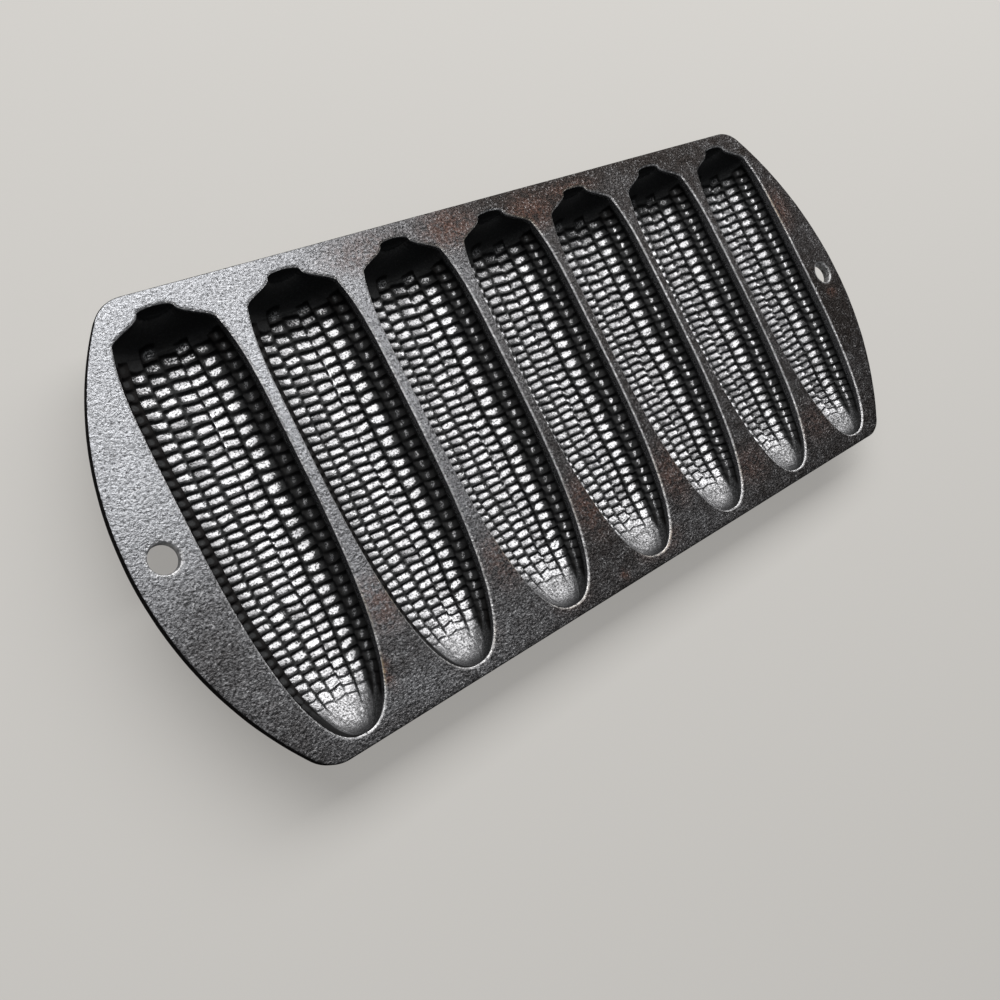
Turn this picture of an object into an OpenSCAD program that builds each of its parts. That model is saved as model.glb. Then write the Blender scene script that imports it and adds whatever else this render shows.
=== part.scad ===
// Cast iron corn stick pan: a flat deck with seven corn ear moulds lying side by side, all with their
// stems towards +Y, and a hanging hole in each curved end. The pan is one casting. It is divided here into
// named regions that meet face to face. It rests on the flattened backs of its moulds at z = 0.

/* [Deck] */
// Length of the pan over its curved ends
pan_l = 337; // [332:1:344]
// Width of the pan over its straight long edges
pan_w = 147; // [145:1:152]
// Thickness of the deck plate
deck_t = 4; // [3:0.5:5]
// Radius of the curved ends
end_r = 118; // [110:1:140]
// Radius of the four rounded corners
corner_r = 12; // [8:1:14]
// Height of the deck's top above the resting plane
pan_h = 20; // [20:0.5:23]

/* [Hanging holes] */
// Diameter of the hole in each end
hole_d = 8.8; // [7:0.2:10]
// Distance of each hole's centre from the middle of the pan
hole_x = 158.5; // [157:0.5:160]

/* [Ear moulds] */
// Distance between the centre lines of neighbouring moulds
pitch = 43; // [42.9:0.1:43.4]
// Greatest width of the mould's mouth
ear_w = 39; // [36:0.5:39]
// Depth of the mould below the deck's top
ear_depth = 16.5; // [14:0.5:16.5]
// Y of the tip of the ear
tip_y = -69.3; // [-70:0.1:-67]
// Y of the end of the stem
stem_y = 68.4; // [67.5:0.1:69]
// Y of the shoulders, where the butt of the ear turns in to the stem
shoulder_y = 59.5; // [58:0.5:60]
// Width of the stem
stem_w = 11.6; // [9:0.2:13]

/* [Kernels] */
// Lengthwise columns of kernel dimples in one mould
kernel_cols = 8; // [6:1:8]
// Kernel dimples in each column
kernel_rows = 31; // [20:1:31]
// Depth of a dimple below the ridges round it
kernel_depth = 0.9; // [0.3:0.1:1]

/* [Hidden] */
// Place of each mould's centre line
function ear_x(i) = (i - 4) * pitch;

// Widest place of the ear, the end of its first kernels and the end of its last
belly_y = 20;
kernel_y0 = -56;
kernel_y1 = 55;
// The butt narrows by this share before its shoulders
butt_taper = 0.16;
// The stem reaches its width here, and its end is rounded beyond
neck_y = 67;
// Bluntness of the tip
tip_power = 3;
tip_round = 2.4;

// Rim of each mould: the width of rim that belongs to the mould, and the rounded lip inside it
rim_w = 1.1;
lip_w = 0.3;
lip_drop = 0.3;
wall_top = 1;
// The columns of kernels fan out to this angle on each side of the lowest line
kernel_fan = 78;

// The back of each mould stands out past the mouth by this much at the deck's underside
back_w = 1.9;
// The back is drawn this far below the resting plane, then flattened on it
back_sink = 0.8;
// Angles of the points round the back, with the flat strip between the middle two
BACK_FAN = [52, 17, -17, -52];

// Lines along which the deck is divided into rails and webs
stem_cut_y = 58;
tip_cut_y = -50;

eps = 0.05;
big = 400;
iron = [0.17, 0.16, 0.16];
seasoned = [0.11, 0.105, 0.11];

// Half width of the mould's mouth at y: a blunt taper to the tip, a gentle one to the shoulders, then the
// sweep in to the stem and its rounded end
function tip_half(y) =
  ear_w / 2 * pow(1 - pow((belly_y - y) / (belly_y - tip_y), tip_power), 1 / tip_round);
function butt_half(y) =
  ear_w / 2 * (1 - butt_taper * pow((y - belly_y) / (shoulder_y - belly_y), 4));
function neck_half(y) =
  let (s = (y - shoulder_y) / (neck_y - shoulder_y))
  stem_w / 2 + (butt_half(shoulder_y) - stem_w / 2) * (1 + cos(180 * s)) / 2;
function stem_half(y) = stem_w / 2 * sqrt(1 - pow((y - neck_y) / (stem_y - neck_y), 2));
function half_w(y) =
  y <= tip_y || y >= stem_y ? 0
  : y < belly_y ? tip_half(y)
  : y < shoulder_y ? butt_half(y)
  : y < neck_y ? neck_half(y)
  : stem_half(y);

// Unit normal of the mouth's outline on its +X side
function slope(y) = (half_w(y + eps) - half_w(y - eps)) / (2 * eps);
function normal(y) = [1, -slope(y)] / norm([1, -slope(y)]);

// Places along the ear at which its cross section is drawn
TIP_STEPS = [0.35, 1.2, 2.8, 5.3, 9];
NECK_STEPS = [0.02, 0.21, 0.39, 0.57, 0.74, 0.9, 0.97];
stations = concat(
  [for (s = TIP_STEPS) tip_y + s],
  [for (r = [0:kernel_rows]) kernel_y0 + (kernel_y1 - kernel_y0) * r / kernel_rows],
  [(kernel_y1 + shoulder_y) / 2],
  [for (s = NECK_STEPS) shoulder_y + s * (stem_y - shoulder_y)]
);
n = len(stations);

// Share of the full width at y, which sets the depth there
function share(y) = 2 * half_w(y) / ear_w;

// A point at an angle round the mould's wall, pushed out by the depth of a dimple
function wall_point(y, a, dimple) =
  let (w = half_w(y) + dimple, d = wall_top + (ear_depth - wall_top) * share(y) + dimple)
  [w * sin(a), y, pan_h - wall_top - (d - wall_top) * cos(a)];
// A point on the outline moved out by an offset, on the side s, at height z
function rim_point(y, offset, s, z) =
  let (o = normal(y))
  [s * (half_w(y) + offset * o[0]), y + offset * o[1], z];
// A point round the back
function back_point(y, a) =
  let (o = normal(y), w = half_w(y) + back_w * o[0])
  let (d = (pan_h - deck_t + back_sink) * share(y))
  [w * sin(a), y + back_w * o[1], max(0, pan_h - deck_t - d * cos(a))];

// One cross section, round the left rim, the mould's wall, the right rim and the back
function section(y) = concat(
  [rim_point(y, back_w, -1, pan_h - deck_t)],
  [rim_point(y, rim_w, -1, pan_h - deck_t)],
  [rim_point(y, rim_w, -1, pan_h)],
  [rim_point(y, lip_w, -1, pan_h - lip_drop)],
  [for (c = [0:kernel_cols]) wall_point(y, kernel_fan * (2 * c / kernel_cols - 1), 0)],
  [rim_point(y, lip_w, 1, pan_h - lip_drop)],
  [rim_point(y, rim_w, 1, pan_h)],
  [rim_point(y, rim_w, 1, pan_h - deck_t)],
  [rim_point(y, back_w, 1, pan_h - deck_t)],
  [for (a = BACK_FAN) back_point(y, a)]
);
m = kernel_cols + 9 + len(BACK_FAN);

// The five points that close one end, from the back to the wall, where out is -1 at the tip and 1 at the stem
function end_points(y, out) = [
  [0, y + out * back_w, pan_h - deck_t],
  [0, y + out * rim_w, pan_h - deck_t],
  [0, y + out * rim_w, pan_h],
  [0, y + out * lip_w, pan_h - lip_drop],
  [0, y, pan_h - wall_top]
];
// The end point that a point of a cross section runs to
function end_of(j) =
  j <= 3 ? j
  : j <= kernel_cols + 4 ? 4
  : j <= kernel_cols + 8 ? kernel_cols + 8 - j
  : 0;

// The middle of one dimple
function dimple_point(c, r) =
  let (y = kernel_y0 + (kernel_y1 - kernel_y0) * (r + 0.5) / kernel_rows)
  wall_point(y, kernel_fan * ((2 * c + 1) / kernel_cols - 1), kernel_depth);

// Numbers of the points in the ear's list: cross sections, tip end, stem end, dimples
function at(i, j) = i * m + j % m;
function tip_end(j) = n * m + end_of(j % m);
function stem_end(j) = n * m + 5 + end_of(j % m);
function dimple_at(c, r) = n * m + 10 + r * kernel_cols + c;
first_row = len(TIP_STEPS);
function is_kernel(i, j) =
  i >= first_row && i < first_row + kernel_rows && j >= 4 && j < 4 + kernel_cols;

// Triangles of one step of the wall: four round a dimple, two elsewhere
function step_faces(i, j) =
  is_kernel(i, j)
  ? let (p = dimple_at(j - 4, i - first_row))
    [
      [at(i, j), at(i, j + 1), p],
      [at(i, j + 1), at(i + 1, j + 1), p],
      [at(i + 1, j + 1), at(i + 1, j), p],
      [at(i + 1, j), at(i, j), p]
    ]
  : [
      [at(i, j), at(i, j + 1), at(i + 1, j + 1)],
      [at(i, j), at(i + 1, j + 1), at(i + 1, j)]
    ];
function tip_faces(j) = concat(
  [[at(0, j + 1), at(0, j), tip_end(j)]],
  tip_end(j) == tip_end(j + 1) ? [] : [[at(0, j + 1), tip_end(j), tip_end(j + 1)]]
);
function stem_faces(j) = concat(
  [[at(n - 1, j), at(n - 1, j + 1), stem_end(j)]],
  stem_end(j) == stem_end(j + 1) ? [] : [[at(n - 1, j + 1), stem_end(j + 1), stem_end(j)]]
);

ear_points = concat(
  [for (y = stations) each section(y)],
  end_points(tip_y, -1),
  end_points(stem_y, 1),
  [for (r = [0:kernel_rows - 1]) for (c = [0:kernel_cols - 1]) dimple_point(c, r)]
);
ear_faces = concat(
  [for (i = [0:n - 2]) for (j = [0:m - 1]) each step_faces(i, j)],
  [for (j = [0:m - 1]) each tip_faces(j)],
  [for (j = [0:m - 1]) each stem_faces(j)]
);

// The outline of one mould's rim on the deck
function xy(p) = [p[0], p[1]];
rim_outline = concat(
  [[0, tip_y - rim_w]],
  [for (y = stations) xy(rim_point(y, rim_w, 1, 0))],
  [[0, stem_y + rim_w]],
  [for (i = [n - 1:-1:0]) xy(rim_point(stations[i], rim_w, -1, 0))]
);

// Centres of the curved ends and of the rounded corners
end_cx = pan_l / 2 - end_r;
corner_cy = pan_w / 2 - corner_r;
corner_cx = end_cx + sqrt(pow(end_r - corner_r, 2) - pow(corner_cy, 2));
corner_turn = atan2(corner_cy, corner_cx - end_cx);

// The wedge outside one corner's arc
module corner_wedge() {
  reach = 2 * corner_r;
  polygon([
    [0, 0],
    [0, reach],
    [reach, reach],
    reach * [cos(corner_turn), sin(corner_turn)]
  ]);
}

// The whole outline of the deck, seen from above
module deck_outline() {
  difference() {
    intersection() {
      square([pan_l, pan_w], center = true);
      union() {
        translate([end_cx, 0]) circle(end_r, $fn = 240);
        translate([-end_cx, 0]) circle(end_r, $fn = 240);
      }
    }
    for (sx = [-1, 1])
      for (sy = [-1, 1])
        scale([sx, sy]) translate([corner_cx, corner_cy]) corner_wedge();
  }
  for (sx = [-1, 1])
    for (sy = [-1, 1])
      translate([sx * corner_cx, sy * corner_cy]) circle(corner_r, $fn = 96);
}

module rim_holes(first, last) {
  for (i = [first:last])
    translate([ear_x(i), 0]) polygon(rim_outline);
}

// A stretch of the deck between two values of x and of y, with the moulds left out
module deck_piece(x0, x1, y0, y1, first, last) {
  translate([0, 0, pan_h - deck_t])
    linear_extrude(deck_t)
      difference() {
        intersection() {
          deck_outline();
          translate([x0, y0]) square([x1 - x0, y1 - y0]);
        }
        rim_holes(first, last);
      }
}

module hanging_hole(x) {
  translate([x, 0, pan_h - deck_t - 1]) cylinder(d = hole_d, h = deck_t + 2, $fn = 64);
}

module hang_tab_left() {
  color(iron)
    difference() {
      deck_piece(-big, ear_x(1), tip_cut_y, stem_cut_y, 1, 1);
      hanging_hole(-hole_x);
    }
}

module hang_tab_right() {
  color(iron)
    difference() {
      deck_piece(ear_x(7), big, tip_cut_y, stem_cut_y, 7, 7);
      hanging_hole(hole_x);
    }
}

module stem_rail() {
  color(iron) deck_piece(-big, big, stem_cut_y, big, 1, 7);
}

module tip_rail() {
  color(iron) deck_piece(-big, big, -big, tip_cut_y, 1, 7);
}

// The strip of deck between mould i and the next one
module web(i) {
  color(iron) deck_piece(ear_x(i), ear_x(i + 1), tip_cut_y, stem_cut_y, i, i + 1);
}

module ear_mould(i) {
  color(seasoned)
    translate([ear_x(i), 0, 0]) polyhedron(points = ear_points, faces = ear_faces, convexity = 6);
}

hang_tab_left();
hang_tab_right();
stem_rail();
tip_rail();
web(1);  // web_1
web(2);  // web_2
web(3);  // web_3
web(4);  // web_4
web(5);  // web_5
web(6);  // web_6
ear_mould(1);  // ear_mould_1
ear_mould(2);  // ear_mould_2
ear_mould(3);  // ear_mould_3
ear_mould(4);  // ear_mould_4
ear_mould(5);  // ear_mould_5
ear_mould(6);  // ear_mould_6
ear_mould(7);  // ear_mould_7
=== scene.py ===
"""Looks of the cast iron corn stick pan.

The pan is one black, seasoned iron casting: a flat deck with seven corn ear moulds side by side and a hanging
hole in each curved end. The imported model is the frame. Each of its regions is stood for here by a finer mesh
with rounded edges, real kernel dimples and the slight unevenness of a sand casting, finished in procedural
iron. Lengths are millimetres until a mesh is made, when they become metres.
"""

import logging
import math
from dataclasses import dataclass, field, replace
from enum import Enum

import bpy
import numpy as np
from mathutils import Matrix, Vector
from mathutils.geometry import delaunay_2d_cdt
from mathutils.kdtree import KDTree


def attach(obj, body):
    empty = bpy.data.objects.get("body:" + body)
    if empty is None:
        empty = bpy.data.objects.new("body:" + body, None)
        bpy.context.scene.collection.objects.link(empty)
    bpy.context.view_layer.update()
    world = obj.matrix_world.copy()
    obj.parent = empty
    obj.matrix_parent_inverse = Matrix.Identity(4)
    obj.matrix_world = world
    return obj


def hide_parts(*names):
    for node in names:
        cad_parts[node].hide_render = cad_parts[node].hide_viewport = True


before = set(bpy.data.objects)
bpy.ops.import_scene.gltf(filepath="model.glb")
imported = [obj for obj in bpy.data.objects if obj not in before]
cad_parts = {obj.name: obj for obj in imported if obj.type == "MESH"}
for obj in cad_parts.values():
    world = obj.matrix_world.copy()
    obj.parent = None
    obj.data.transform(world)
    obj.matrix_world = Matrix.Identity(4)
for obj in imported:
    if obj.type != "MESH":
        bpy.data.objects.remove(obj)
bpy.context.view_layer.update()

LOG = logging.getLogger("corn_stick_pan")
MM = 0.001
Colour = tuple[float, float, float, float]
Triple = tuple[float, float, float]
Numbers = float | np.ndarray


class Slot(Enum):
    """The record's material slots."""

    DECK = "deck_iron"
    MOULD = "mould_iron"


class Region(Enum):
    """The regions into which the deck is divided."""

    STEM_RAIL = "stem_rail"
    TIP_RAIL = "tip_rail"
    TAB_LEFT = "hang_tab_left"
    TAB_RIGHT = "hang_tab_right"
    WEB = "web"


def smoothstep(low: float, high: float, value: np.ndarray) -> np.ndarray:
    """An S-shaped ramp.

    Args:
        low: Where the ramp is 0. It may be above high, and the ramp then falls.
        high: Where the ramp is 1.
        value: The values to place on the ramp.

    Returns:
        From 0 to 1 for each value.
    """
    t = np.clip((value - low) / (high - low), 0.0, 1.0)
    return t * t * (3.0 - 2.0 * t)


@dataclass(frozen=True)
class Ripple:
    """A smooth, seeded unevenness: plane waves of about one length in every direction."""

    length: float
    seed: int
    waves: int = 28
    most: float = 2.5
    spread: tuple[float, float] = (0.65, 1.6)

    def reseeded(self, number: int) -> "Ripple":
        """The same kind of unevenness with another seed, so that no two moulds are alike."""
        return replace(self, seed=self.seed + number)

    def at(self, x: np.ndarray, y: np.ndarray) -> np.ndarray:
        """The height at each point.

        Args:
            x: First coordinate, in millimetres.
            y: Second coordinate, of the same shape.

        Returns:
            Heights with a spread of about 1, never past the most.
        """
        rng = np.random.RandomState(self.seed)
        total = np.zeros(np.broadcast(x, y).shape)
        for _ in range(self.waves):
            turn, phase = rng.uniform(0.0, 2.0 * math.pi, 2)
            k = 2.0 * math.pi / (self.length * rng.uniform(*self.spread))
            total = total + np.sin(k * (math.cos(turn) * x + math.sin(turn) * y) + phase)
        return np.clip(total / math.sqrt(self.waves / 2.0), -self.most, self.most)


@dataclass(frozen=True)
class PanSizes:
    """Driving sizes of the pan, as the construction has them."""

    length: float = 337.0
    width: float = 147.0
    thickness: float = 4.0
    end_radius: float = 118.0
    corner_radius: float = 12.0
    height: float = 20.0
    hole_radius: float = 4.4
    hole_x: float = 158.5
    pitch: float = 43.0
    moulds: int = 7
    stem_cut_y: float = 58.0
    tip_cut_y: float = -50.0

    @property
    def underside(self) -> float:
        """Height of the deck's underside."""
        return self.height - self.thickness

    @property
    def end_x(self) -> float:
        """Distance from the middle to the centre of a curved end."""
        return self.length / 2.0 - self.end_radius

    @property
    def corner_y(self) -> float:
        """Y of the centre of a rounded corner."""
        return self.width / 2.0 - self.corner_radius

    @property
    def corner_x(self) -> float:
        """X of the centre of a rounded corner, where its arc meets the end's arc smoothly."""
        reach = self.end_radius - self.corner_radius
        return self.end_x + math.sqrt(reach * reach - self.corner_y * self.corner_y)

    @property
    def corner_turn(self) -> float:
        """Angle at which the end's arc gives way to the corner's arc."""
        return math.atan2(self.corner_y, self.corner_x - self.end_x)

    def ear_x(self, number: int) -> float:
        """X of the centre line of mould number 1 to 7."""
        return (number - (self.moulds + 1) / 2.0) * self.pitch


@dataclass(frozen=True)
class DeckRelief:
    """The slight unevenness of the deck's two faces, one function for every region, so that they join."""

    broad: Ripple = Ripple(70.0, 11)
    lumps: Ripple = Ripple(9.0, 12)
    grain: Ripple = Ripple(3.4, 13, 40)
    under: Ripple = Ripple(14.0, 14)
    broad_high: float = 0.05
    lumps_high: float = 0.022
    grain_high: float = 0.014
    under_high: float = 0.06
    under_lumps_high: float = 0.03
    sunk: float = 0.12

    def top(self, x: np.ndarray, y: np.ndarray) -> np.ndarray:
        """Height of the top face above its nominal plane, never positive.

        Args:
            x: X of the points.
            y: Y of the points.

        Returns:
            The height at each point.
        """
        rise = self.broad_high * self.broad.at(x, y) + self.lumps_high * self.lumps.at(x, y)
        return np.minimum(rise + self.grain_high * self.grain.at(x, y) - self.sunk, 0.0)

    def bottom(self, x: np.ndarray, y: np.ndarray) -> np.ndarray:
        """Height of the underside above its nominal plane."""
        return self.under_high * self.under.at(x, y) + self.under_lumps_high * self.lumps.at(y, x)


@dataclass(frozen=True)
class EarOutline:
    """The mouth of one mould, seen from above, with its tip at -Y and its stem at +Y."""

    half_width: float = 19.5
    tip_y: float = -69.3
    stem_y: float = 68.4
    shoulder_y: float = 59.5
    stem_half: float = 5.8
    belly_y: float = 20.0
    neck_y: float = 67.0
    tip_power: float = 3.0
    tip_round: float = 2.4
    butt_taper: float = 0.16
    step: float = 0.30
    soften: float = 1.3
    samples: tuple[int, int, int] = (6000, 3000, 600)

    def half(self, y: np.ndarray) -> np.ndarray:
        """Half the mouth's width at y.

        Args:
            y: Places along the ear, from the tip to the end of the stem.

        Returns:
            The half width at each, 0 at both ends.
        """
        y = np.asarray(y, float)
        run = np.clip((self.belly_y - y) / (self.belly_y - self.tip_y), 0.0, 1.0)
        tip = self.half_width * (1.0 - run**self.tip_power) ** (1.0 / self.tip_round)
        run = np.clip((y - self.belly_y) / (self.shoulder_y - self.belly_y), 0.0, 1.0)
        butt = self.half_width * (1.0 - self.butt_taper * run**4)
        shoulder = self.half_width * (1.0 - self.butt_taper)
        run = np.clip((y - self.shoulder_y) / (self.neck_y - self.shoulder_y), 0.0, 1.0)
        neck = self.stem_half + (shoulder - self.stem_half) * (1.0 + np.cos(math.pi * run)) / 2.0
        run = np.clip((y - self.neck_y) / (self.stem_y - self.neck_y), 0.0, 1.0)
        stem = self.stem_half * np.sqrt(1.0 - run * run)
        return np.select([y < self.belly_y, y < self.shoulder_y, y < self.neck_y], [tip, butt, neck], stem)

    def stations(self) -> np.ndarray:
        """Places along the ear that are evenly spaced along its outline, the two ends left out.

        Returns:
            Their Y, from the tip to the stem.
        """
        in_tip, in_body, in_stem = self.samples
        tip = self.tip_y + (self.belly_y - self.tip_y) * np.linspace(0.0, 1.0, in_tip) ** self.tip_round
        body = np.linspace(self.belly_y, self.neck_y, in_body)[1:]
        turn = np.linspace(0.0, math.pi / 2.0, in_stem)
        stem = self.neck_y + (self.stem_y - self.neck_y) * np.sin(turn)[1:]
        y = np.concatenate([tip, body, stem])
        way = np.concatenate([[0.0], np.cumsum(np.hypot(np.diff(self.half(y)), np.diff(y)))])
        count = round(way[-1] / self.step)
        return np.interp((np.arange(count) + 0.5) / count * way[-1], way, y)

    def normals(self, y: np.ndarray) -> tuple[np.ndarray, np.ndarray]:
        """Outward direction of the outline's +X side, softened so that offsets never cross.

        Args:
            y: The stations.

        Returns:
            The X and Y parts at each station.
        """
        w = self.half(y)
        along = np.gradient(w), np.gradient(y)
        size = np.hypot(*along)
        nx, ny = along[1] / size, -along[0] / size
        reach = int(4.0 * self.soften / self.step)
        weights = np.exp(-0.5 * (np.arange(-reach, reach + 1) * self.step / self.soften) ** 2)
        weights /= weights.sum()
        nx = np.convolve(np.concatenate([-nx[reach - 1 :: -1], nx, -nx[: -reach - 1 : -1]]), weights, "valid")
        ny = np.convolve(np.concatenate([ny[reach - 1 :: -1], ny, ny[: -reach - 1 : -1]]), weights, "valid")
        size = np.hypot(nx, ny)
        return nx / size, ny / size


@dataclass(frozen=True)
class KernelColumn:
    """One lengthwise column of kernels: where it starts, and how long a kernel is at three places."""

    first: float
    at_butt: float
    at_middle: float
    at_tip: float
    butt_y: float = 56.0
    tip_y: float = -54.0
    reach: float = 72.0
    step: float = 0.25

    def rows(self, y: np.ndarray) -> np.ndarray:
        """How many kernels lie between the column's first edge and each place along the ear.

        Args:
            y: Places along the ear.

        Returns:
            The count at each place, below 0 before the first edge.
        """
        way = np.arange(self.reach, -self.reach, -self.step)
        high, low = self.butt_y, self.tip_y
        pitch = self.at_butt * way * (way - low) / (high * (high - low))
        pitch = pitch + self.at_middle * (way - high) * (way - low) / (high * low)
        pitch = pitch + self.at_tip * (way - high) * way / ((low - high) * low)
        count = np.cumsum(self.step / pitch)
        return np.interp(-y, -way, count) - np.interp(-self.first, -way, count)


@dataclass(frozen=True)
class Kernels:
    """The kernels that the moulds share, since all were made from one pattern.

    Columns are counted from the left lip. Each kernel is a dimple with a dished floor that slopes along the
    ear. Its middle is a bare bright spot where its highlight falls, and round it the iron is painted black as
    painted shade, more so on the outer columns and the plain wall.
    """

    columns: tuple[KernelColumn, ...] = (
        KernelColumn(56.0, 4.0, 3.2, 3.3),
        KernelColumn(57.5, 3.9, 3.1, 3.3),
        KernelColumn(55.3, 4.15, 2.95, 3.1),
        KernelColumn(61.0, 3.9, 3.0, 3.7),
        KernelColumn(57.8, 4.2, 3.1, 3.25),
        KernelColumn(59.7, 3.6, 3.35, 2.8),
        KernelColumn(57.0, 3.9, 3.9, 3.3),
        KernelColumn(58.1, 3.3, 3.7, 3.3),
    )
    edges: tuple[float, ...] = (-77.0, -58.0, -39.0, -20.0, -1.0, 18.5, 34.5, 57.0, 80.0)
    ridges: tuple[float, ...] = (1.0, 1.0, 1.0, 1.0, 1.0, 0.55, 1.0, 1.0, 1.0)
    most_rows: int = 48
    depth: float = 0.88
    outer_depth: tuple[float, float] = (0.4, 0.6)
    flat_across: float = 0.55
    flat_along: float = 0.45
    lean: float = 0.66
    draft: float = 1.5
    sway: float = 0.5
    sway_line: Ripple = Ripple(19.0, 21)
    sway_across: float = 0.15
    sway_room: tuple[float, float] = (90.0, 70.0)
    wobble: float = 0.05
    wobble_line: Ripple = Ripple(9.0, 22)
    wobble_across: float = 6.0
    most_uneven: float = 1.6
    uneven_depth: float = 0.10
    uneven_lean: float = 0.08
    fade_y: tuple[float, float] = (-65.0, -46.0)
    # Painted highlight and shade: each kernel keeps a bare spot where its highlight falls, and is painted
    # black round it.
    spot_at: tuple[float, ...] = (0.0, 0.0, 0.10, 0.18, 0.0, -0.15, -0.30, -0.30)
    spot_wide: tuple[float, ...] = (0.60, 0.60, 0.84, 0.84, 0.86, 1.10, 0.56, 0.20)
    spot_long: float = 0.69
    spot_edge: tuple[float, float] = (0.55, 1.30)
    spot_power: float = 2.5
    seams_fade_y: tuple[float, float] = (-65.0, -54.0)
    rows_fade_y: tuple[float, float] = (-59.0, -46.0)
    # Painted shade: the outermost columns on the left and the right, and the plain wall, are painted black.
    left_black: float = 0.9
    left_black_to: float = 2.0
    right_black: float = 0.25
    right_black_from: float = 7.0
    plain_black: float = 0.6
    side_soft: float = 0.1
    seed: int = 5

    def angle(self, y: np.ndarray, u: np.ndarray) -> np.ndarray:
        """Angles round the wall of lines that follow the columns.

        Args:
            y: Places along the ear, as a column.
            u: Which line, as a row: a column's edges are whole numbers, and the plain wall lies below 0 and
                above the number of columns, up to one past either.

        Returns:
            Angles in degrees for every place and line, 0 at the lowest line and 90 at the lips.
        """
        marks = np.array([-90.0, *self.edges, 90.0])
        plain = np.interp(u, np.arange(len(marks)) - 1.0, marks)
        room = smoothstep(*self.sway_room, np.abs(plain))
        return plain + self.sway * room * self.sway_line.at(y, plain * self.sway_across)

    @staticmethod
    def wall(place: np.ndarray, flat: float) -> np.ndarray:
        """Rise of a dimple's side: 0 over the flat share of its floor and 1 at its edges, at -1 and 1."""
        return (np.maximum(np.abs(place) - flat, 0.0) / (1.0 - flat)) ** 2

    def black(
        self, y: np.ndarray, u: np.ndarray, column: np.ndarray, across: np.ndarray, along: np.ndarray
    ) -> np.ndarray:
        """How much painted shade, as black, lies round the bare spot where each kernel's highlight falls.

        Args:
            y: Places along the ear, as a column.
            u: Lines that follow the columns, as a row.
            column: The column of each point.
            across: Where each point lies across its kernel, from -1 to 1.
            along: Where it lies along its kernel, from -1 to 1.

        Returns:
            From 0 for bare metal to 1 and more for black.
        """
        across = np.abs(across - np.array(self.spot_at)[column]) / np.array(self.spot_wide)[column]
        across = across * smoothstep(*self.seams_fade_y, y)
        along = np.abs(along) / self.spot_long * smoothstep(*self.rows_fade_y, y)
        power = self.spot_power
        black = smoothstep(*self.spot_edge, (across**power + along**power) ** (1.0 / power))
        soft = self.side_soft
        left = smoothstep(self.left_black_to + soft, self.left_black_to - soft, u)
        right = smoothstep(self.right_black_from - soft, self.right_black_from + soft, u)
        return black + self.left_black * left + self.right_black * right

    def relief(self, y: np.ndarray, u: np.ndarray) -> tuple[np.ndarray, np.ndarray]:
        """Depth of the wall's surface below its ridges, and how much painted shade it gets, as black.

        Args:
            y: Places along the ear, as a column.
            u: Lines that follow the columns, as a row.

        Returns:
            For every place and line its depth, and its painted shade, as black() counts it.
        """
        count = len(self.columns)
        rng = np.random.RandomState(self.seed)
        most, size = self.most_uneven, (count, self.most_rows)
        deeper = 1.0 + self.uneven_depth * rng.standard_normal(size).clip(-most, most)
        deeper[:2] *= np.array(self.outer_depth)[:, None]
        slope = self.lean + self.uneven_lean * rng.standard_normal(size).clip(-most, most)
        column = np.clip(np.floor(u), 0, count - 1).astype(int) + 0 * y.astype(int)
        across = np.clip(2.0 * (u - column) - 1.0, -1.0, 1.0)
        rows = np.concatenate([kernels.rows(y) for kernels in self.columns], 1)
        row = np.take_along_axis(rows, column, 1)
        row = row + self.wobble * self.wobble_line.at(y, u * self.wobble_across)
        number = np.clip(np.floor(row), 0, self.most_rows - 1).astype(int)
        along = np.clip(2.0 * (row - number) - 1.0, -1.0, 1.0)
        ridge = np.array(self.ridges)
        low = np.where(across < 0.0, ridge[column], ridge[column + 1])
        edges = np.array(self.edges)
        turn = np.radians((edges[:-1] + edges[1:]) / 2.0)[column]
        side = 1.0 - low * self.wall(across, self.flat_across)
        end = 1.0 - self.wall(along, self.flat_along)
        tread = 1.0 + self.draft * np.sin(turn) * across - slope[column, number] * along
        fade = smoothstep(*self.fade_y, y)
        inside = (u >= 0.0) & (u <= count) & (row >= 0.0)
        depth = self.depth * deeper[column, number] * tread * side * end * fade
        black = self.black(y, u, column, low * across, along)
        return np.where(inside, depth, 0.0), np.where(inside, black, self.plain_black)


@dataclass(frozen=True)
class Patch:
    """An oval place with soft edges where the deck is browner with rust, or has more or less painted sheen."""

    x: float
    y: float
    reach_x: float
    reach_y: float
    strength: float
    edge: tuple[float, float] = (1.25, 0.1)

    def at(self, x: np.ndarray, y: np.ndarray) -> np.ndarray:
        """The patch's strength at each point, fading to 0 a little outside its reach."""
        far = np.hypot((x - self.x) / self.reach_x, (y - self.y) / self.reach_y)
        return self.strength * smoothstep(*self.edge, far)


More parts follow.
